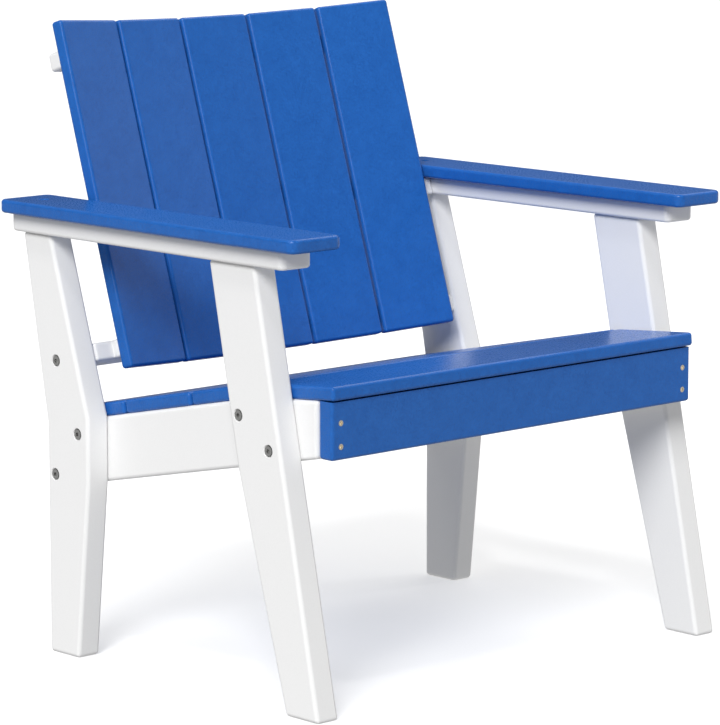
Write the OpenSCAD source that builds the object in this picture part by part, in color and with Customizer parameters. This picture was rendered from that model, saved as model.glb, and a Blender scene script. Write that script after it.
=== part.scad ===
// Adirondack chair of bolted plastic-lumber boards.
// The chair faces -Y, +Z is up, and the ground is z = 0. The origin is on the ground, midway
// between the front-most and the rear-most points and midway between the two sides.
// "Left" is the -X side and "right" the +X side, as seen by someone looking at the chair's front.

/* [Overall] */
// Width over the outer faces of the legs
leg_span = 730; // [600:5:880]
// Height of the top of the arm boards above the ground
arm_h = 607; // [505:1:660]
// Distance on the ground from the front toes to the rear heels
foot_span = 538; // [520:1:646]

/* [Board stock] */
// Thickness of the legs and the side rails
frame_t = 36; // [28:1:44]
// Thickness of the arm rails, the apron and the back rails
rail_t = 25; // [20:1:32]
// Thickness of the slats and the arm boards
slat_t = 18; // [14:0.5:24]
// Rounding of the slats' and arm boards' long edges
slat_r = 4; // [1:0.5:6]
// Rounding of the apron's lower edges
apron_r = 4; // [1:0.5:8]

/* [Legs] */
// Width of the legs where they cross the side rails
leg_w = 86; // [70:1:96]
// Width of the feet on the ground
foot_w = 61; // [40:1:80]
// Lean of the front legs, degrees from upright
front_rake = 11.7; // [6:0.1:16]
// Height of the bend in the rear legs' rear edge
heel_bend_h = 309; // [260:1:360]
// Width of the rear legs at their top
rear_top_w = 58; // [44:1:80]

/* [Seat] */
// Height of the crest of the side rails' top edge
crest_h = 390.6; // [340:1:440]
// Distance of that crest behind the front toes
crest_y = 149; // [120:1:180]
// Fall of the seat towards the back, degrees
seat_tilt = 11.8; // [6:0.1:15]
// Fall of the front slat towards the back, degrees
nose_tilt = 4.6; // [0:0.1:6]
// Depth of the side rails, square to their length
side_rail_w = 86; // [70:1:104]
// Length of the side rails ahead of the crest
nose_l = 108.5; // [100:1:120]
// Distance of the side rails' rear ends ahead of the rear heels
rail_rear_inset = 2; // [0:0.5:6]
// Gap between seat slats
seat_gap = 4; // [2:0.5:8]
// Distance of the last seat slat's rear edge behind the side rails' ends
seat_overhang = 16.7; // [0:0.1:24]
// Distance of the front slat's edge ahead of the apron
nose_overhang = 4.5; // [0:0.5:12]
// Gap between a seat slat's end and the leg beside it
seat_end_gap = 1.5; // [1:0.5:4]
// Distance of the apron's ends inside the legs' inner faces
apron_inset = 3; // [2:0.5:12]

/* [Back] */
// Lean of the back, degrees from upright
back_tilt = 17.6; // [10:0.1:24]
// Distance of the outer slats' faces ahead of the rear legs' front edges
back_proud = 28.5; // [20:0.5:36]
// Gap between the back and the arm boards beside it
back_side_gap = 7.1; // [4:0.1:16]
// Gap between back slats
back_gap = 6; // [3:0.5:12]
// Turn from one back slat to the next, degrees
back_step = 5.7; // [3:0.1:7]
// Height of the slats' lower ends above the side rails' top edge, along the back
back_lift = 60.3; // [44:0.1:80]
// Length of a back slat
back_slat_l = 473.6; // [430:1:640]
// Distance along the back from the slats' lower ends to the lower rail
lower_rail_up = 16.6; // [8:0.1:30]
// Distance of the lower rail's rear edge behind the outer slats' faces
lower_rail_reach = 93; // [84:1:110]
// Distance of the lower rail's ends behind the rear legs' front edges
lower_rail_inset = 0.5; // [0:0.5:6]
// Distance of the steps in the lower rail's front edge outside the outer slats
lower_rail_step = 2; // [1:0.5:6]
// Distance along the back from the upper rail to the slats' upper ends
upper_rail_down = 37.5; // [20:0.5:80]
// Depth of the upper rail, which follows the curve
upper_rail_w = 25; // [18:1:30]
// Distance of the upper rail's ends inside the outer slats' edges
upper_rail_inset = 1.5; // [0:0.5:10]

/* [Arms] */
// Width of an arm board
arm_w = 85; // [70:1:130]
// Distance of the arm boards' front ends ahead of the front legs' tops
arm_front_overhang = 98.6; // [70:0.1:120]
// Distance of the arm boards' rear ends behind the rear legs' tops
arm_rear_overhang = 22.1; // [10:0.1:40]
// Distance of the arm boards' outer edges outside the legs
arm_overhang = 24; // [10:1:40]
// Rounding of the arm boards' corners, seen from above
arm_corner_r = 12; // [6:1:30]
// Width of an arm rail
arm_rail_w = 51; // [44:1:64]
// Rounding of the arm rails' corners, seen from above
arm_rail_corner_r = 9; // [2:0.5:12]
// Distance of an arm rail's front end behind the arm board's
arm_rail_front = 37; // [20:1:60]
// Distance of an arm rail's rear end ahead of the arm board's
arm_rail_back = 6; // [2:1:20]

/* [Fasteners] */
// Diameter of the frame bolts
bolt_d = 8; // [6:1:10]
// Diameter of a frame bolt's head
head_d = 13; // [11:0.5:16]
// Height of a frame bolt's head
head_h = 6; // [5:0.5:8]
// Depth of a bolt head's top below the face of a leg
head_sink = 0; // [0:0.5:3]
// Depth of a bolt head's top below the top of an arm board
arm_head_sink = 2; // [0:0.5:3]
// Gap round a bolt head in its recess
head_gap = 0.9; // [0.5:0.1:2]
// Width of the chamfer round the mouth of a bolt's recess
head_lip = 1.3; // [0.4:0.1:2]
// Play all round each bolt, screw and dowel
play = 0.2; // [0.1:0.05:0.4]
// Diameter of the wood screws
screw_d = 4.5; // [4:0.5:5]
// Diameter of a wood screw's head
screw_head_d = 7.5; // [6.5:0.5:10]
// Height of a wood screw's head
screw_head_h = 3; // [2:0.5:4]
// Depth that a slat screw bites into a board of slat stock
slat_bite = 12; // [8:0.5:13]
// Distance of the bolts from the legs' front edges
bolt_front = 22; // [18:0.5:26]
// Distance of the bolts from the legs' rear edges
bolt_rear = 16; // [14:0.5:22]
// Distance of the bolts from the side rails' edges
bolt_rail = 18.5; // [14:0.5:22]
// Distance of the back rail's bolts behind the rear legs' front edges
bolt_back = 41.3; // [30:0.1:44]
// Distance of the arm bolts ahead of the rear legs' rear edges
bolt_arm = 22.9; // [18:0.1:26]
// Distance of the apron's upper screws below the side rails' top edge
apron_screw_top = 26.8; // [14:0.1:30]
// Distance of the apron's lower screws above its lower edge
apron_screw_foot = 17.2; // [10:0.1:24]

/* [Hidden] */
$fn = 48;

// A cut runs this far past the face it opens
over = 1;

// --- Side view. y runs back from the front toes, z up from the ground.
seat_fall = tan(seat_tilt);
nose_fall = tan(nose_tilt);
back_fall = tan(back_tilt);
rail_drop = side_rail_w / cos(seat_tilt);
function rail_top(y) = crest_h - seat_fall * (y - crest_y);
function rail_bottom(y) = rail_top(y) - rail_drop;
function nose_top(y) = crest_h - nose_fall * (y - crest_y);

leg_top = arm_h - slat_t - rail_t;
arm_board_z = arm_h - slat_t;
rail_front = crest_y - nose_l;
rail_rear = foot_span - rail_rear_inset;
apron_front = rail_front - rail_t;
apron_h = nose_top(rail_front) - rail_bottom(rail_front);

// Front leg: its rear edge is parallel to its front edge down to the side rail, then tapers
front_run = tan(front_rake);
front_w = leg_w / cos(front_rake);
function front_edge(z) = front_run * z;
function front_rear_edge(z) = front_edge(z) + front_w;
knee_z = rail_bottom(front_w) / (1 + seat_fall * front_run);
front_leg_outline = [
    [0, 0], [foot_w, 0], [front_rear_edge(knee_z), knee_z],
    [front_rear_edge(leg_top), leg_top], [front_edge(leg_top), leg_top]
];

// Rear leg: upright where it crosses the side rail, leaning above and tapering below
throat_y = foot_span - leg_w;
rear_top_y = throat_y + back_fall * (leg_top - rail_top(throat_y));
rear_leg_outline = [
    [foot_span - foot_w, 0], [foot_span, 0], [foot_span, heel_bend_h],
    [rear_top_y + rear_top_w, leg_top], [rear_top_y, leg_top],
    [throat_y, rail_top(throat_y)], [throat_y, rail_bottom(throat_y)]
];

side_rail_outline = [
    [rail_front, rail_bottom(rail_front)], [rail_rear, rail_bottom(rail_rear)],
    [rail_rear, rail_top(rail_rear)], [crest_y, crest_h], [rail_front, nose_top(rail_front)]
];

// Arms, from ahead of the front legs to behind the rear legs
arm_y0 = front_edge(leg_top) - arm_front_overhang;
arm_y1 = rear_top_y + rear_top_w + arm_rear_overhang;
arm_rail_y0 = arm_y0 + arm_rail_front;
arm_rail_y1 = arm_y1 - arm_rail_back;

// The tilted seat slats share the side rails' length, and the front slat covers the apron
seat_run = (rail_rear - crest_y) / cos(seat_tilt) + seat_overhang;
seat_slats = 3;
seat_slat_w = (seat_run - (seat_slats - 0.5) * seat_gap) / seat_slats;
nose_slat_w = (nose_l + rail_t + nose_overhang) / cos(nose_tilt) - seat_gap / 2;

// --- Front view
leg_out = leg_span / 2;
leg_in = leg_out - frame_t;
leg_mid = leg_out - frame_t / 2;
rail_in = leg_in - frame_t;
rail_mid = leg_in - frame_t / 2;
arm_out = leg_out + arm_overhang;
arm_in = arm_out - arm_w;
arm_rail_in = leg_mid - arm_rail_w / 2;
seat_half = leg_in - seat_end_gap;
apron_half = leg_in - apron_inset;

// --- The back's own frame: x across, y square to the back and rearward, z up along it.
// The outer slats' front edges are at y = 0 there.
// The slats' width is what fits between the arm boards: the outer slats stand at twice the step,
// and the rear faces all touch one circle.
back_half = arm_in - back_side_gap;
reach_per_w = sin(2 * back_step) / (2 * tan(back_step / 2));
back_slat_w = (back_half + slat_t * sin(2 * back_step) - back_gap * reach_per_w)
    / (reach_per_w + cos(2 * back_step) / 2);
slat_rear_r = (back_slat_w + back_gap) / (2 * tan(back_step / 2));
slat_front_r = slat_rear_r - slat_t;
edge_front = slat_front_r * cos(2 * back_step) - back_slat_w / 2 * sin(2 * back_step);
back_origin_y = throat_y - back_fall * rail_top(throat_y) - back_proud / cos(back_tilt);
// Where the back meets the line of the side rails' top edge, and the slats' ends above it
back_foot = (crest_h - seat_fall * (back_origin_y - crest_y))
    / (cos(back_tilt) + seat_fall * sin(back_tilt));
back_base = back_foot + back_lift;
back_top = back_base + back_slat_l;
lower_rail_z = back_base + lower_rail_up;
rail_end_y = back_proud + lower_rail_inset;
rail_step_x = back_half + lower_rail_step;
upper_rail_z = back_top - upper_rail_down - rail_t;
upper_half = back_half - upper_rail_inset;

// The flats that the back rails give the slats, one each, carried on straight to the ends
function flat_corner(k, r) =
    r / cos(back_step / 2) * [sin(k * back_step), cos(k * back_step)] - [0, edge_front];
function flat_end(half, r) =
    flat_corner(2.5, r)[1] - (half - flat_corner(2.5, r)[0]) * tan(2 * back_step);
function flats(half, r) = concat(
    [[-half, flat_end(half, r)]],
    [for (k = [-2.5:2.5]) if (abs(flat_corner(k, r)[0]) < half) flat_corner(k, r)],
    [[half, flat_end(half, r)]]
);
function reversed(list) = [for (i = [len(list) - 1:-1:0]) list[i]];

// --- The origin's place in the side view
slat_back_y = slat_rear_r - edge_front;
function back_reach(z, y) = back_origin_y + z * sin(back_tilt) + y * cos(back_tilt);
rear_most = max(
    back_reach(back_top, slat_back_y),
    back_reach(upper_rail_z + rail_t, slat_back_y + upper_rail_w / cos(back_step / 2)),
    arm_y1
);
front_most = min(0, arm_y0, apron_front - nose_overhang);
mid_y = (front_most + rear_most) / 2;

// --- Fastener sizes and places
socket_w = 5;
socket_depth = 3.5;
head_hole_d = head_d + 2 * head_gap;
washer_d = 18;
washer_t = 1.6;
nut_w = 13;
nut_h = 6.5;
// A nut's well: the gap round the washer, and the depth of the nut's outer face in it
nut_gap = 1;
nut_sink = 2;
nut_hole_d = washer_d + 2 * nut_gap;
nut_hole_depth = nut_h + washer_t + nut_sink;
// How far a frame bolt's end stands past its nut
bolt_tip = 1;
leg_bolt_l = 2 * frame_t - head_sink - head_h - nut_hole_depth + washer_t + nut_h + bolt_tip;
// Barrel nuts: how deep in the board they lie, and how far they reach past the bolt's axis
barrel_d = 12;
barrel_in = 40;
barrel_past = 6;
leg_barrel_l = frame_t / 2 + barrel_past;
rail_barrel_l = rail_t / 2 + barrel_past;
back_rail_bolt_y = back_proud + bolt_back;
lower_rail_mid = lower_rail_z + rail_t / 2;
back_rail_bolt_l = frame_t - head_sink - head_h + barrel_in + barrel_d / 2;
arm_bolt_l = slat_t + rail_t - arm_head_sink - head_h + barrel_in + barrel_d / 2;
screw_head_hole_d = screw_head_d + 2 * play;
screw_socket_w = 3;
// Board left under a screw's head where the head is sunk in a well
board_left = 22;
arm_rail_left = 14;
seat_screw_spread = 30;
apron_screw_l = 52;
leg_screw_l = 60;
leg_screw_gap = 44;
slat_screw_l = board_left + slat_bite;
arm_screw_l = arm_rail_left + slat_bite;
upper_screw_l = upper_rail_w + slat_bite;
dowel_d = 10;
dowel_l = 40;
dowel_gap = 36;

// Places of the leg bolts in the side view
bolt_drop = bolt_rail / cos(seat_tilt);
front_inset = bolt_front / cos(front_rake);
rear_inset = bolt_rear / cos(front_rake);
upper_bolt_z = (rail_top(front_w - rear_inset) - bolt_drop) / (1 + seat_fall * front_run);
lower_bolt_z = (rail_bottom(front_inset) + bolt_drop) / (1 + seat_fall * front_run);
front_bolts = [
    [front_rear_edge(upper_bolt_z) - rear_inset, upper_bolt_z],
    [front_edge(lower_bolt_z) + front_inset, lower_bolt_z]
];
rear_bolts = [
    [throat_y + bolt_front, rail_top(throat_y + bolt_front) - bolt_drop],
    [foot_span - bolt_rear, rail_bottom(foot_span - bolt_rear) + bolt_drop]
];
arm_bolt_y = rear_top_y + rear_top_w - bolt_arm;

// --- Helpers
// The parts are drawn from the front toes back, and set about the origin here
module chair() {
    translate([0, -mid_y, 0]) children();
}

// Draws on the +X side, or its mirror image on the -X side
module on_side(side) {
    mirror([side < 0 ? 1 : 0, 0, 0]) children();
}

module on_both_sides() {
    for (side = [-1, 1]) on_side(side) children();
}

// Enters the back's own frame
module in_back() {
    translate([0, back_origin_y, 0]) rotate([-back_tilt, 0, 0]) children();
}

// Enters the frame of back slat i, from -2 to 2: y = 0 is the slat's rear face
module at_slat(i) {
    in_back() translate([0, -edge_front, 0]) rotate([0, 0, -i * back_step])
        translate([0, slat_rear_r, 0]) children();
}

// Enters the frame of the side rails' top edge: y = 0 at the crest, y along the edge
module on_rail(tilt) {
    translate([0, crest_y, crest_h]) rotate([-tilt, 0, 0]) children();
}

// A board cut to a side-view outline, from x to x + thickness
module side_board(x, thickness, outline) {
    translate([x, 0, 0]) rotate([90, 0, 90]) linear_extrude(thickness) polygon(outline);
}

module round_rect(w, h, r) {
    translate([r, 0]) square([w - 2 * r, h]);
    translate([0, r]) square([w, h - 2 * r]);
    for (x = [r, w - r], y = [r, h - r]) translate([x, y]) circle(r);
}

// A board along X with rounded long edges: half its length, its width along Y, its thickness up
module cross_board(half, w, t, r) {
    translate([-half, 0, 0]) rotate([90, 0, 90]) linear_extrude(2 * half) round_rect(w, t, r);
}

// --- Fasteners. They point down, with the top of the head at the origin.
module bolt(l) {
    difference() {
        union() {
            translate([0, 0, -head_h]) cylinder(d = head_d, h = head_h);
            translate([0, 0, -head_h - l]) cylinder(d = bolt_d, h = l);
        }
        translate([0, 0, -socket_depth]) cylinder(d = socket_w / cos(30), h = socket_depth + over, $fn = 6);
    }
}

// The bolt's own hole, with its head's top the given depth below the board's face
module bolt_hole(l, sink) {
    translate([0, 0, -head_h]) cylinder(d = head_hole_d, h = head_h + sink + over);
    translate([0, 0, sink - head_lip])
        cylinder(d1 = head_hole_d, d2 = head_hole_d + 4 * head_lip, h = 2 * head_lip);
    translate([0, 0, -head_h - l - over]) cylinder(d = bolt_d + 2 * play, h = l + 2 * over);
}

module screw(l) {
    difference() {
        union() {
            translate([0, 0, -screw_head_h]) cylinder(d = screw_head_d, h = screw_head_h);
            translate([0, 0, -l]) cylinder(d = screw_d, h = l - screw_head_h);
        }
        translate([0, 0, -screw_head_h / 2])
            cylinder(d = screw_socket_w / cos(30), h = screw_head_h, $fn = 6);
    }
}

// The screw's own hole, with a well of the given depth above the head
module screw_hole(l, well) {
    translate([0, 0, -screw_head_h]) cylinder(d = screw_head_hole_d, h = screw_head_h + well + over);
    translate([0, 0, -l - play]) cylinder(d = screw_d + 2 * play, h = l);
}

module washer() {
    difference() {
        cylinder(d = washer_d, h = washer_t);
        translate([0, 0, -over]) cylinder(d = bolt_d + 2 * play, h = washer_t + 2 * over);
    }
}

module nut() {
    translate([0, 0, washer_t]) difference() {
        cylinder(d = nut_w / cos(30), h = nut_h, $fn = 6);
        translate([0, 0, -over]) cylinder(d = bolt_d + 2 * play, h = nut_h + 2 * over);
    }
}

module barrel(l) {
    translate([0, 0, -l]) cylinder(d = barrel_d, h = l);
}

module barrel_hole(l) {
    translate([0, 0, -l - play]) cylinder(d = barrel_d + 2 * play, h = l + play + over);
}

// --- Places: each draws its children once per fastener, head outward
module at_leg_bolts(places) {
    for (p = places) translate([leg_out - head_sink, p[0], p[1]]) rotate([0, 90, 0]) children();
}

module at_leg_nuts() {
    for (p = concat(front_bolts, rear_bolts))
        translate([rail_in + nut_hole_depth, p[0], p[1]]) rotate([0, -90, 0]) children();
}

module at_back_rail_bolt() {
    in_back() translate([leg_out - head_sink, back_rail_bolt_y, lower_rail_mid])
        rotate([0, 90, 0]) children();
}

module at_back_rail_barrel() {
    in_back() translate([leg_in - barrel_in, back_rail_bolt_y, lower_rail_z])
        rotate([180, 0, 0]) children();
}

module at_arm_bolt() {
    translate([leg_mid, arm_bolt_y, arm_h - arm_head_sink]) children();
}

module at_arm_barrel() {
    translate([leg_in, arm_bolt_y, leg_top - barrel_in]) rotate([0, -90, 0]) children();
}

module at_apron_screws() {
    for (z = [nose_top(rail_front) - apron_screw_top, rail_bottom(rail_front) + apron_screw_foot])
        translate([rail_mid, apron_front, z]) rotate([90, 0, 0]) children();
}

seat_pitch = seat_slat_w + seat_gap;
function seat_slat_mid(i) = seat_gap / 2 + seat_slat_w / 2 + i * seat_pitch;
nose_slat_mid = -seat_gap / 2 - nose_slat_w / 2;

// Screws that come up through the side rails into the seat slats: two each, and one in the front
// slat, where the apron's own screws take the rest of the rail
module at_seat_screws() {
    on_rail(seat_tilt) for (i = [0:seat_slats - 1], k = [-1, 1])
        translate([rail_mid, seat_slat_mid(i) + k * seat_screw_spread, -board_left])
            rotate([180, 0, 0]) children();
    on_rail(nose_tilt)
        translate([rail_mid, nose_slat_mid + seat_screw_spread, -board_left])
            rotate([180, 0, 0]) children();
}

// Screws that come up through the arm rails into the arm boards: one ahead of the front leg, and
// two between the legs
module at_arm_board_screws() {
    free = rear_top_y - front_rear_edge(leg_top);
    ahead = (arm_rail_y0 + front_edge(leg_top)) / 2;
    for (y = [ahead, front_rear_edge(leg_top) + free / 4, rear_top_y - free / 4])
        translate([leg_mid, y, arm_board_z - arm_rail_left]) rotate([180, 0, 0]) children();
}

module at_leg_top_screws() {
    middle = (front_edge(leg_top) + front_rear_edge(leg_top)) / 2;
    for (k = [-1, 1]) translate([leg_mid, middle + k * leg_screw_gap / 2, arm_board_z]) children();
}

// A screw square to the rear face of back slat i, its head's top the given depth behind it
module at_slat_screw(i, z, depth) {
    at_slat(i) translate([0, depth, z]) rotate([-90, 0, 0]) children();
}

// A level screw through the middle rail into back slat i
module at_middle_screw(i) {
    z = leg_top + rail_t / 2;
    slat_y = slat_rear_r * cos(i * back_step) - edge_front;
    face_y = back_origin_y + z * back_fall + slat_y / cos(back_tilt);
    translate([slat_rear_r * sin(i * back_step), face_y, z])
        translate([0, board_left, 0]) rotate([-90, 0, 0]) children();
}

module at_dowels() {
    for (k = [0.5, 1.5])
        translate([arm_rail_in, arm_rail_y1 - k * dowel_gap, leg_top + rail_t / 2])
            rotate([0, 90, 0]) children();
}

module dowel(grow) {
    cylinder(d = dowel_d + 2 * grow, h = dowel_l + 2 * grow, center = true);
}

upper_screw_z = upper_rail_z + rail_t / 2;

// --- Legs and rails
module front_leg(side) color("white") chair() on_side(side) difference() {
    side_board(leg_in, frame_t, front_leg_outline);
    at_leg_bolts(front_bolts) bolt_hole(leg_bolt_l, head_sink);
    at_leg_top_screws() screw_hole(leg_screw_l, 0);
}

module rear_leg(side) color("white") chair() on_side(side) difference() {
    side_board(leg_in, frame_t, rear_leg_outline);
    at_leg_bolts(rear_bolts) bolt_hole(leg_bolt_l, head_sink);
    at_back_rail_bolt() bolt_hole(back_rail_bolt_l, head_sink);
    at_arm_bolt() bolt_hole(arm_bolt_l, arm_head_sink);
    at_arm_barrel() barrel_hole(leg_barrel_l);
}

module side_rail(side) color("white") chair() on_side(side) difference() {
    side_board(rail_in, frame_t, side_rail_outline);
    at_leg_bolts(concat(front_bolts, rear_bolts)) bolt_hole(leg_bolt_l, head_sink);
    at_leg_nuts() cylinder(d = nut_hole_d, h = nut_hole_depth + over);
    at_apron_screws() screw_hole(apron_screw_l, 0);
    at_seat_screws() screw_hole(slat_screw_l, side_rail_w);
}

module arm_rail(side) color("white") chair() on_side(side) difference() {
    translate([arm_rail_in, arm_rail_y0, leg_top]) linear_extrude(rail_t)
        round_rect(arm_rail_w, arm_rail_y1 - arm_rail_y0, arm_rail_corner_r);
    at_arm_bolt() bolt_hole(arm_bolt_l, arm_head_sink);
    at_arm_board_screws() screw_hole(arm_screw_l, rail_t);
    at_leg_top_screws() screw_hole(leg_screw_l, 0);
    at_dowels() dowel(play);
}

// A board whose front edge fits the slats, and steps back to lie between the legs
module lower_back_rail() color("white") chair() difference() {
    in_back() translate([0, 0, lower_rail_z]) linear_extrude(rail_t)
        polygon(concat(
            [[-leg_in, lower_rail_reach], [-leg_in, rail_end_y], [-rail_step_x, rail_end_y]],
            flats(rail_step_x, slat_rear_r),
            [[rail_step_x, rail_end_y], [leg_in, rail_end_y], [leg_in, lower_rail_reach]]
        ));
    on_both_sides() at_back_rail_bolt() bolt_hole(back_rail_bolt_l, head_sink);
    on_both_sides() at_back_rail_barrel() barrel_hole(rail_barrel_l);
    for (i = [-2:2])
        at_slat_screw(i, lower_rail_mid, board_left) screw_hole(slat_screw_l, lower_rail_reach);
}

// A level board between the arm rails, its front edge bevelled to meet the leaning slats
module middle_back_rail() color("white") chair() difference() {
    intersection() {
        translate([-arm_rail_in, throat_y, leg_top])
            cube([2 * arm_rail_in, arm_rail_y1 - throat_y, rail_t]);
        in_back() linear_extrude(back_top)
            polygon(concat(flats(leg_in, slat_rear_r), [[leg_in, foot_span], [-leg_in, foot_span]]));
    }
    for (i = [-2:2]) at_middle_screw(i) screw_hole(slat_screw_l, foot_span);
    on_both_sides() at_dowels() dowel(play);
}

module upper_back_rail() color("white") chair() difference() {
    in_back() translate([0, 0, upper_rail_z]) linear_extrude(rail_t)
        polygon(concat(
            flats(upper_half, slat_rear_r),
            reversed(flats(upper_half, slat_rear_r + upper_rail_w))
        ));
    for (i = [-2:2]) at_slat_screw(i, upper_screw_z, upper_rail_w) screw_hole(upper_screw_l, 0);
}

// --- Coloured boards
module front_apron() color("royalblue") chair() difference() {
    translate([0, apron_front, rail_bottom(rail_front)]) {
        cross_board(apron_half, rail_t, apron_h - apron_r, apron_r);
        translate([-apron_half, 0, apron_r]) cube([2 * apron_half, rail_t, apron_h - apron_r]);
    }
    on_both_sides() at_apron_screws() screw_hole(apron_screw_l, 0);
}

// Tilted slat i counts back from the crest, from 0
module seat_slat(i) color("royalblue") chair() difference() {
    on_rail(seat_tilt) translate([0, seat_slat_mid(i) - seat_slat_w / 2, 0])
        cross_board(seat_half, seat_slat_w, slat_t, slat_r);
    on_both_sides() at_seat_screws() screw_hole(slat_screw_l, 0);
}

module nose_slat() color("royalblue") chair() difference() {
    on_rail(nose_tilt) translate([0, nose_slat_mid - nose_slat_w / 2, 0])
        cross_board(seat_half, nose_slat_w, slat_t, slat_r);
    on_both_sides() at_seat_screws() screw_hole(slat_screw_l, 0);
}

// Back slat i counts from the middle one, -X side first
module back_slat(i) color("royalblue") chair() difference() {
    at_slat(i) translate([-back_slat_w / 2, -slat_t, back_base])
        linear_extrude(back_slat_l) round_rect(back_slat_w, slat_t, slat_r);
    at_slat_screw(i, upper_screw_z, upper_rail_w) screw_hole(upper_screw_l, 0);
    at_slat_screw(i, lower_rail_mid, board_left) screw_hole(slat_screw_l, 0);
    at_middle_screw(i) screw_hole(slat_screw_l, 0);
}

module arm_board(side) color("royalblue") chair() on_side(side) difference() {
    translate([arm_in, arm_y0, arm_board_z])
        linear_extrude(slat_t) round_rect(arm_w, arm_y1 - arm_y0, arm_corner_r);
    at_arm_bolt() bolt_hole(arm_bolt_l, arm_head_sink);
    at_arm_board_screws() screw_hole(arm_screw_l, 0);
}

// --- Fastener groups
module leg_bolts() color("silver") chair() on_both_sides()
    at_leg_bolts(concat(front_bolts, rear_bolts)) bolt(leg_bolt_l);

module leg_bolt_washers() color("silver") chair() on_both_sides() at_leg_nuts() washer();

module leg_bolt_nuts() color("silver") chair() on_both_sides() at_leg_nuts() nut();

module back_rail_bolts() color("silver") chair() on_both_sides() at_back_rail_bolt() bolt(back_rail_bolt_l);

module back_rail_barrel_nuts() color("silver") chair() on_both_sides() difference() {
    at_back_rail_barrel() barrel(rail_barrel_l);
    at_back_rail_bolt() bolt_hole(back_rail_bolt_l, head_sink);
}

module arm_bolts() color("silver") chair() on_both_sides() at_arm_bolt() bolt(arm_bolt_l);

module arm_barrel_nuts() color("silver") chair() on_both_sides() difference() {
    at_arm_barrel() barrel(leg_barrel_l);
    at_arm_bolt() bolt_hole(arm_bolt_l, arm_head_sink);
}

module apron_screws() color("silver") chair() on_both_sides() at_apron_screws() screw(apron_screw_l);

module seat_screws() color("silver") chair() on_both_sides() at_seat_screws() screw(slat_screw_l);

module arm_board_screws() color("silver") chair() on_both_sides() at_arm_board_screws() screw(arm_screw_l);

module leg_top_screws() color("silver") chair() on_both_sides() at_leg_top_screws() screw(leg_screw_l);

module upper_rail_screws() color("silver") chair()
    for (i = [-2:2]) at_slat_screw(i, upper_screw_z, upper_rail_w) screw(upper_screw_l);

module middle_rail_screws() color("silver") chair()
    for (i = [-2:2]) at_middle_screw(i) screw(slat_screw_l);

module lower_rail_screws() color("silver") chair()
    for (i = [-2:2]) at_slat_screw(i, lower_rail_mid, board_left) screw(slat_screw_l);

module middle_rail_dowels() color("burlywood") chair() on_both_sides() at_dowels() dowel(0);

front_leg(-1);  // front_leg_left
front_leg(1);  // front_leg_right
rear_leg(-1);  // rear_leg_left
rear_leg(1);  // rear_leg_right
side_rail(-1);  // side_rail_left
side_rail(1);  // side_rail_right
arm_rail(-1);  // arm_rail_left
arm_rail(1);  // arm_rail_right
lower_back_rail();
middle_back_rail();
upper_back_rail();
front_apron();
seat_slat(2);  // seat_slat_1
seat_slat(1);  // seat_slat_2
seat_slat(0);  // seat_slat_3
nose_slat();  // seat_slat_4
back_slat(-2);  // back_slat_1
back_slat(-1);  // back_slat_2
back_slat(0);  // back_slat_3
back_slat(1);  // back_slat_4
back_slat(2);  // back_slat_5
arm_board(-1);  // arm_board_left
arm_board(1);  // arm_board_right
leg_bolts();
leg_bolt_washers();
leg_bolt_nuts();
back_rail_bolts();
back_rail_barrel_nuts();
arm_bolts();
arm_barrel_nuts();
apron_screws();
seat_screws();
arm_board_screws();
leg_top_screws();
upper_rail_screws();
middle_rail_screws();
lower_rail_screws();
middle_rail_dowels();
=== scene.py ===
"""The look of an adirondack chair of plastic lumber: soft-edged boards, finishes, camera, floor and light."""

import math

import bmesh
import bpy
from mathutils import Matrix, Vector


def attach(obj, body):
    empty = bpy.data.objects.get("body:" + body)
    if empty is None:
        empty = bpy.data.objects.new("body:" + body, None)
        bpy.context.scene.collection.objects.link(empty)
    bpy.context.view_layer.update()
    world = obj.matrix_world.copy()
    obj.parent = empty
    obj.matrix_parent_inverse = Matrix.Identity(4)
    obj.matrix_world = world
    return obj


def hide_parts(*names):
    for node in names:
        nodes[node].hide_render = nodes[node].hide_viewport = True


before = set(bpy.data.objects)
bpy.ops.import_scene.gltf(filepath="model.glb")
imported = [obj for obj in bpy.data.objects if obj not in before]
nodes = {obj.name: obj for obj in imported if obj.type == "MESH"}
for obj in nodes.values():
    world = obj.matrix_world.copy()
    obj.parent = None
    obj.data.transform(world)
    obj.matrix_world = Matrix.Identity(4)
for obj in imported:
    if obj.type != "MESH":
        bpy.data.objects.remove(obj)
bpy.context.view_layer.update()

X = Vector((1, 0, 0))
Z = Vector((0, 0, 1))

# Edge radii of the boards, in metres
LEG_EDGE = 0.0055
SLAT_EDGE = 0.0045
ARM_EDGE = 0.0044
ARM_RAIL_EDGE = 0.0045
APRON_EDGE = 0.0045
RAIL_EDGE = 0.0045

EDGE_STEPS = 5
# Edges sharper than this are rounded, and shaded sharp where they are not
SHARP = math.radians(30)
# How far a node's own surface is let out before it cuts the rounded board to its holes
LET_OUT = 0.00005
# Corners of an outline that turn less than this are left out
STRAIGHT = math.radians(0.3)
# Points closer than this are one point, and faces closer than this are level
SAME_POINT = 1e-6
LEVEL = 1e-5


# ---- Boards ----------------------------------------------------------------------------------

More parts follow.
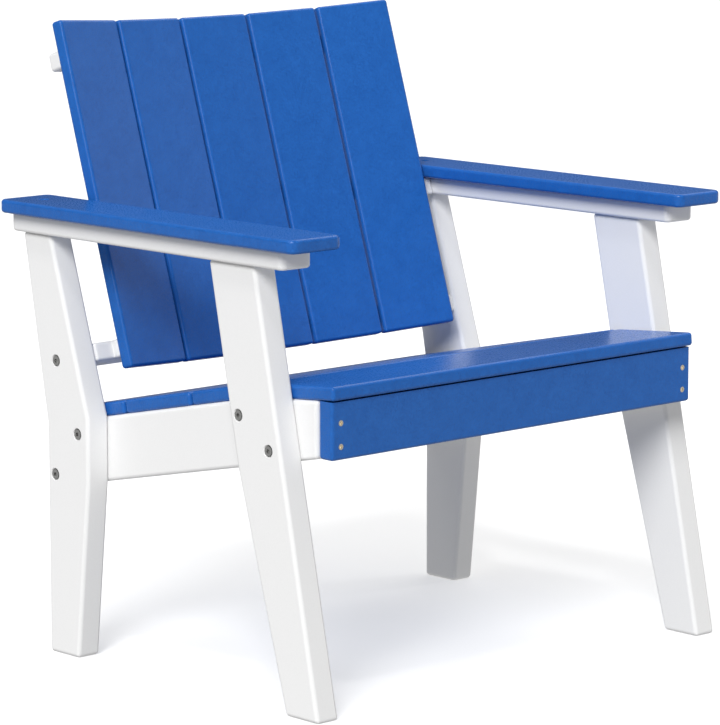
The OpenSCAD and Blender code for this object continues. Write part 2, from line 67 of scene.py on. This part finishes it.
def flat_outline(mesh, normal):
    """The corners, in order, of the outer edge of the flat face furthest out along normal."""
    bm = bmesh.new()
    bm.from_mesh(mesh)
    bmesh.ops.remove_doubles(bm, verts=bm.verts, dist=SAME_POINT)
    bm.normal_update()
    furthest = max(v.co.dot(normal) for v in bm.verts)
    flat = {f for f in bm.faces if all(abs(v.co.dot(normal) - furthest) < LEVEL for v in f.verts)}
    after = {}
    for face in flat:
        for loop in face.loops:
            if not any(other in flat for other in loop.edge.link_faces if other is not face):
                after[loop.vert.index] = (loop.vert.co.copy(), loop.link_loop_next.vert.index)
    loops = []
    while after:
        start = min(after)
        corners = []
        here = start
        while here in after:
            corner, here = after.pop(here)
            corners.append(corner)
        loops.append(corners)
    bm.free()
    outer = max(loops, key=lambda corners: max((a - corners[0]).length for a in corners))
    turn = lambda a, b, c: (b - a).angle(c - b)
    count = len(outer)
    return [outer[i] for i in range(count)
            if turn(outer[i - 1], outer[i], outer[(i + 1) % count]) > STRAIGHT]


def lofted(near, far):
    """A closed mesh between two outlines: each near corner is joined to the closest far one."""
    bm = bmesh.new()
    shift = sum(near, Vector()) / len(near) - sum(far, Vector()) / len(far)
    start = min(range(len(far)), key=lambda i: (far[i] + shift - near[0]).length)
    far = [far[(start - i) % len(far)] for i in range(len(far))]
    low = [bm.verts.new(co) for co in near]
    high = [bm.verts.new(co) for co in far]
    bm.faces.new(low)
    bm.faces.new(reversed(high))
    for i in range(len(low)):
        bm.faces.new((low[i - 1], high[i - 1], high[i], low[i]))
    bmesh.ops.recalc_face_normals(bm, faces=bm.faces)
    return bm


def block(mesh, axes):
    """The smallest box with the given axes that holds the mesh."""
    reach = [[v.co.dot(axis) for v in mesh.vertices] for axis in axes]
    spans = [(min(along), max(along)) for along in reach]
    bm = bmesh.new()
    bmesh.ops.create_cube(bm, size=1)
    for v in bm.verts:
        v.co = sum((a * (low if c < 0 else high) for a, (low, high), c in zip(axes, spans, v.co)), Vector())
    bmesh.ops.recalc_face_normals(bm, faces=bm.faces)
    return bm


def round_edges(bm, radius):
    bm.normal_update()
    sharp = [e for e in bm.edges if e.calc_face_angle(0) > SHARP]
    bmesh.ops.bevel(bm, geom=sharp, offset=radius, offset_type="OFFSET", segments=EDGE_STEPS,
                    profile=0.5, affect="EDGES", clamp_overlap=False)


def cut_to_holes(obj, node):
    """Cuts the rounded board with the node's own shape, which brings its holes and wells."""
    bm = bmesh.new()
    bm.from_mesh(nodes[node].data)
    bmesh.ops.remove_doubles(bm, verts=bm.verts, dist=SAME_POINT)
    bm.normal_update()
    for v in bm.verts:
        v.co += v.normal * LET_OUT * v.calc_shell_factor()
    mesh = bpy.data.meshes.new("cutter")
    bm.to_mesh(mesh)
    bm.free()
    cutter = bpy.data.objects.new("cutter", mesh)
    bpy.context.scene.collection.objects.link(cutter)
    cut = obj.modifiers.new("holes", "BOOLEAN")
    cut.operation = "INTERSECT"
    cut.solver = "EXACT"
    cut.object = cutter
    apply_modifiers(obj)
    bpy.data.objects.remove(cutter)


def apply_modifiers(obj):
    graph = bpy.context.evaluated_depsgraph_get()
    mesh = bpy.data.meshes.new_from_object(obj.evaluated_get(graph))
    obj.modifiers.clear()
    obj.data = mesh


def show_instead(bm, node, radius, material):
    """Shows the shape in bm, with rounded edges and the node's holes, in place of the node."""
    round_edges(bm, radius)
    mesh = bpy.data.meshes.new(node + "_shown")
    bm.to_mesh(mesh)
    bm.free()
    obj = bpy.data.objects.new(node + "_shown", mesh)
    bpy.context.scene.collection.objects.link(obj)
    cut_to_holes(obj, node)
    obj.data.materials.clear()
    obj.data.materials.append(material)
    obj.data.shade_smooth()
    obj.data.set_sharp_from_angle(angle=SHARP)
    weighted = obj.modifiers.new("flat faces", "WEIGHTED_NORMAL")
    weighted.keep_sharp = True
    weighted.weight = 100
    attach(obj, "root")
    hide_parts(node)


def cut_board(node, normal, radius, material):
    """A board sawn to an outline that is flat across normal."""
    mesh = nodes[node].data
    board = lofted(flat_outline(mesh, normal), flat_outline(mesh, -normal))
    show_instead(board, node, radius, material)


def board_axes(mesh):
    """A plank's own axes: along its length, across its width and through its thickness."""
    alike = {}
    for face in mesh.polygons:
        alike.setdefault(tuple(round(c, 2) for c in face.normal), []).append(face)
    by_area = sorted(alike.values(), key=lambda faces: sum(f.area for f in faces), reverse=True)
    normals = [sum((f.normal * f.area for f in faces), Vector()).normalized() for faces in by_area]
    through = normals[0]
    across = next(n for n in normals if abs(n.dot(through)) < 0.01)
    return across.cross(through), across, through


def plank(node, radius, material):
    """A plain rectangular board."""
    mesh = nodes[node].data
    show_instead(block(mesh, board_axes(mesh)), node, radius, material)


# ---- Finishes --------------------------------------------------------------------------------

# Most of a noise texture's values lie between these
NOISE_RANGE = (0.3, 0.7)
# How much of a board's change of colour is broad mottle, and the rest fine speckle
MOTTLE_SHARE = 0.25
# Plastic lumber reflects less than its refractive index alone gives
LUMBER_IOR = 1.5
LUMBER_SPECULAR = 0.24
# The darker marks on steel, as a share of its colour
STEEL_MARKS = 0.8


def new_material(name):
    material = bpy.data.materials.new(name)
    material.use_nodes = True
    tree = material.node_tree
    return material, tree, tree.nodes["Principled BSDF"]


def noise(tree, coordinates, scale, detail, roughness=0.5, stretch=(1, 1, 1)):
    """A noise texture in object metres, finer along the axes with a larger stretch."""
    mapping = tree.nodes.new("ShaderNodeMapping")
    mapping.inputs["Scale"].default_value = stretch
    tree.links.new(coordinates, mapping.inputs["Vector"])
    texture = tree.nodes.new("ShaderNodeTexNoise")
    texture.inputs["Scale"].default_value = scale
    texture.inputs["Detail"].default_value = detail
    texture.inputs["Roughness"].default_value = roughness
    tree.links.new(mapping.outputs["Vector"], texture.inputs["Vector"])
    return texture.outputs["Fac"]


def spread(tree, value, low, high):
    """Maps a noise value, most of which lies in NOISE_RANGE, onto the range from low to high."""
    ramp = tree.nodes.new("ShaderNodeMapRange")
    ramp.inputs["From Min"].default_value, ramp.inputs["From Max"].default_value = NOISE_RANGE
    ramp.inputs["To Min"].default_value = low
    ramp.inputs["To Max"].default_value = high
    tree.links.new(value, ramp.inputs["Value"])
    return ramp.outputs["Result"]


def blend_colours(tree, factor, a, b):
    mix = tree.nodes.new("ShaderNodeMix")
    mix.data_type = "RGBA"
    mix.inputs[6].default_value = (*a, 1)
    mix.inputs[7].default_value = (*b, 1)
    tree.links.new(factor, mix.inputs["Factor"])
    return mix.outputs[2]


def bumps(tree, shader, heights):
    """Adds bump maps one on another: each a height, its strength and its depth in metres."""
    normal = None
    for height, strength, depth in heights:
        bump = tree.nodes.new("ShaderNodeBump")
        bump.inputs["Strength"].default_value = strength
        bump.inputs["Distance"].default_value = depth
        tree.links.new(height, bump.inputs["Height"])
        if normal:
            tree.links.new(normal, bump.inputs["Normal"])
        normal = bump.outputs["Normal"]
    tree.links.new(normal, shader.inputs["Normal"])


def lumber(name, colour, deeper, roughness, grain):
    """Extruded plastic lumber: a matt skin with a fine pebbled grain and a faint mottle."""
    material, tree, shader = new_material(name)
    coordinates = tree.nodes.new("ShaderNodeTexCoord").outputs["Object"]
    mottle = noise(tree, coordinates, 45, 3, 0.6)
    speckle = noise(tree, coordinates, 420, 2, 0.6)
    pebble = noise(tree, coordinates, 900, 2, 0.55)
    shade = tree.nodes.new("ShaderNodeMath")
    shade.operation = "ADD"
    tree.links.new(spread(tree, mottle, 0, MOTTLE_SHARE), shade.inputs[0])
    tree.links.new(spread(tree, speckle, 0, 1 - MOTTLE_SHARE), shade.inputs[1])
    tree.links.new(blend_colours(tree, shade.outputs[0], colour, deeper), shader.inputs["Base Color"])
    tree.links.new(spread(tree, speckle, roughness - 0.04, roughness + 0.06), shader.inputs["Roughness"])
    shader.inputs["IOR"].default_value = LUMBER_IOR
    shader.inputs["Specular IOR Level"].default_value = LUMBER_SPECULAR
    bumps(tree, shader, [(mottle, 0.08, 0.0002), (pebble, grain, 0.0003)])
    return material


def stainless(name, colour, roughness):
    """Turned stainless steel with fine marks."""
    material, tree, shader = new_material(name)
    coordinates = tree.nodes.new("ShaderNodeTexCoord").outputs["Object"]
    marks = noise(tree, coordinates, 900, 3, 0.6)
    darker = tuple(c * STEEL_MARKS for c in colour)
    tree.links.new(blend_colours(tree, marks, colour, darker), shader.inputs["Base Color"])
    tree.links.new(spread(tree, marks, roughness - 0.06, roughness + 0.08), shader.inputs["Roughness"])
    shader.inputs["Metallic"].default_value = 1.0
    bumps(tree, shader, [(marks, 0.15, 0.0001)])
    return material


def beech(name):
    """Pale dowel wood, its grain along X."""
    material, tree, shader = new_material(name)
    coordinates = tree.nodes.new("ShaderNodeTexCoord").outputs["Object"]
    grain = noise(tree, coordinates, 300, 4, 0.6, stretch=(0.08, 1, 1))
    tan, brown = (0.62, 0.42, 0.24), (0.46, 0.29, 0.15)
    tree.links.new(blend_colours(tree, grain, tan, brown), shader.inputs["Base Color"])
    shader.inputs["Roughness"].default_value = 0.7
    bumps(tree, shader, [(grain, 0.3, 0.0002)])
    return material


BLUE = lumber("blue_lumber", (0.022, 0.146, 0.515), (0.010, 0.088, 0.350), 0.27, 0.2)
WHITE = lumber("white_lumber", (0.85, 0.85, 0.85), (0.83, 0.83, 0.83), 0.34, 0.1)
STEEL = stainless("stainless_steel", (0.50, 0.50, 0.49), 0.36)
COATED = stainless("coated_steel", (0.85, 0.76, 0.60), 0.42)
WOOD = beech("beech")


# ---- The chair -------------------------------------------------------------------------------

def dress_boards():
    for side, outward in (("left", -X), ("right", X)):
        for piece in ("front_leg", "rear_leg", "side_rail"):
            cut_board(f"{piece}_{side}", outward, LEG_EDGE, WHITE)
        cut_board(f"arm_board_{side}", Z, ARM_EDGE, BLUE)
        cut_board(f"arm_rail_{side}", Z, ARM_RAIL_EDGE, WHITE)
    for i in range(1, 5):
        plank(f"seat_slat_{i}", SLAT_EDGE, BLUE)
    for i in range(1, 6):
        plank(f"back_slat_{i}", SLAT_EDGE, BLUE)
    dress_apron()
    up_the_back = board_axes(nodes["back_slat_3"].data)[0]
    for piece in ("lower_back_rail", "upper_back_rail"):
        cut_board(piece, up_the_back, RAIL_EDGE, WHITE)
    cut_board("middle_back_rail", Z, RAIL_EDGE, WHITE)


def dress_apron():
    """Its upper edges are square, under the front slat: the node cuts the rounding off there."""
    node = "front_apron"
    mesh = nodes[node].data
    bm = block(mesh, board_axes(mesh))
    upper_corners = sorted(bm.verts, key=lambda v: v.co.z)[4:]
    for v in upper_corners:
        v.co.z += 2 * APRON_EDGE
    show_instead(bm, node, APRON_EDGE, BLUE)


def dress_fasteners():
    for name, obj in nodes.items():
        if name == "apron_screws":
            finish = COATED
        elif name.endswith(("bolts", "washers", "nuts", "screws")):
            finish = STEEL
        elif name.endswith("dowels"):
            finish = WOOD
        else:
            continue
        obj.data.materials.clear()
        obj.data.materials.append(finish)


# ---- Camera, floor and light -----------------------------------------------------------------

FLOOR_HALF = 30
FLOOR_COLOUR = (0.7, 0.7, 0.7, 1)
FLOOR_GLOW = 0.47
# Where the world's three brightnesses stand, from straight down at 0 to straight up at 1
GROUND_STOP, HORIZON_STOP, ZENITH_STOP = 0.45, 0.52, 1


def add_camera():
    """Looks at the chair from its front left, a little from above."""
    place = Vector((-3.4531, -3.7701, 1.2124))
    yaw = math.radians(42.820)
    pitch = math.radians(-8.719)
    roll = math.radians(-0.029)
    level = Matrix.Rotation(-yaw, 4, "Z") @ Matrix.Rotation(math.pi / 2 + pitch, 4, "X")
    turn = level @ Matrix.Rotation(roll, 4, "Z")
    data = bpy.data.cameras.new("camera")
    data.sensor_fit = "HORIZONTAL"
    data.sensor_width = 36
    data.lens = 191.54
    data.shift_x = -0.0272
    data.shift_y = -0.0519
    camera = bpy.data.objects.new("camera", data)
    camera.matrix_world = Matrix.Translation(place) @ turn
    bpy.context.scene.collection.objects.link(camera)
    bpy.context.scene.camera = camera


def add_floor():
    """A pale floor that only the camera sees: the world's lower half lights the chair in its place."""
    half = FLOOR_HALF
    bm = bmesh.new()
    corners = [(-half, -half), (half, -half), (half, half), (-half, half)]
    bm.faces.new([bm.verts.new((x, y, 0)) for x, y in corners])
    mesh = bpy.data.meshes.new("floor")
    bm.to_mesh(mesh)
    bm.free()
    floor = bpy.data.objects.new("floor", mesh)
    bpy.context.scene.collection.objects.link(floor)
    material, _, shader = new_material("pale_floor")
    shader.inputs["Base Color"].default_value = FLOOR_COLOUR
    shader.inputs["Roughness"].default_value = 0.9
    shader.inputs["Specular IOR Level"].default_value = 0.0
    shader.inputs["Emission Color"].default_value = (1, 1, 1, 1)
    shader.inputs["Emission Strength"].default_value = FLOOR_GLOW
    floor.data.materials.append(material)
    floor.visible_diffuse = False
    floor.visible_glossy = False


def add_softbox(name, place, aim, size, power):
    """A rectangular light at a place, turned towards its aim."""
    data = bpy.data.lights.new(name, "AREA")
    data.shape = "RECTANGLE"
    data.size, data.size_y = size
    data.energy = power
    light = bpy.data.objects.new(name, data)
    light.location = place
    light.rotation_euler = (Vector(aim) - Vector(place)).to_track_quat("-Z", "Y").to_euler()
    bpy.context.scene.collection.objects.link(light)


def add_world(floor_glow, horizon, zenith):
    """A plain grey studio: its brightness below the horizon, just above it and overhead."""
    world = bpy.data.worlds.new("studio")
    world.use_nodes = True
    tree = world.node_tree
    direction = tree.nodes.new("ShaderNodeTexCoord").outputs["Generated"]
    split = tree.nodes.new("ShaderNodeSeparateXYZ")
    tree.links.new(direction, split.inputs[0])
    height = tree.nodes.new("ShaderNodeMapRange")
    height.inputs["From Min"].default_value = -1
    tree.links.new(split.outputs["Z"], height.inputs["Value"])
    ramp = tree.nodes.new("ShaderNodeValToRGB")
    stops = ramp.color_ramp.elements
    stops.new(HORIZON_STOP)
    places = (GROUND_STOP, HORIZON_STOP, ZENITH_STOP)
    for stop, place, level in zip(stops, places, (floor_glow, horizon, zenith)):
        stop.position = place
        stop.color = (level, level, level, 1)
    tree.links.new(height.outputs["Result"], ramp.inputs["Fac"])
    tree.links.new(ramp.outputs["Color"], tree.nodes["Background"].inputs["Color"])
    bpy.context.scene.world = world


def add_sun(name, direction, strength, softness):
    """A far round light in the given direction, that many degrees across."""
    data = bpy.data.lights.new(name, "SUN")
    data.energy = strength
    data.angle = math.radians(softness)
    sun = bpy.data.objects.new(name, data)
    sun.rotation_euler = Vector(direction).to_track_quat("Z", "Y").to_euler()
    bpy.context.scene.collection.objects.link(sun)


def add_lights():
    """A wide key from the front left, two lights from above it, and dimmer boxes on the right."""
    add_world(floor_glow=0.61, horizon=0.06, zenith=0.40)
    add_sun("key", (-0.68, -0.46, 0.57), 2.55, 26)
    add_sun("high", (-0.36, -0.31, 0.88), 0.35, 5)
    add_sun("top", (-0.45, 0.12, 0.88), 0.5, 40)
    middle = (0, 0, 0.4)
    add_softbox("rear_top", (2.3, 1.15, 3.2), middle, (2.4, 2.4), 28)
    add_softbox("right_wall", (4.0, -1.7, 1.2), middle, (2.5, 2.5), 20)
    add_softbox("right_strip", (3.0, -0.7, 3.4), middle, (0.5, 2.4), 14)
    bpy.context.scene.view_settings.view_transform = "Standard"


dress_boards()
dress_fasteners()
add_camera()
add_floor()
add_lights()
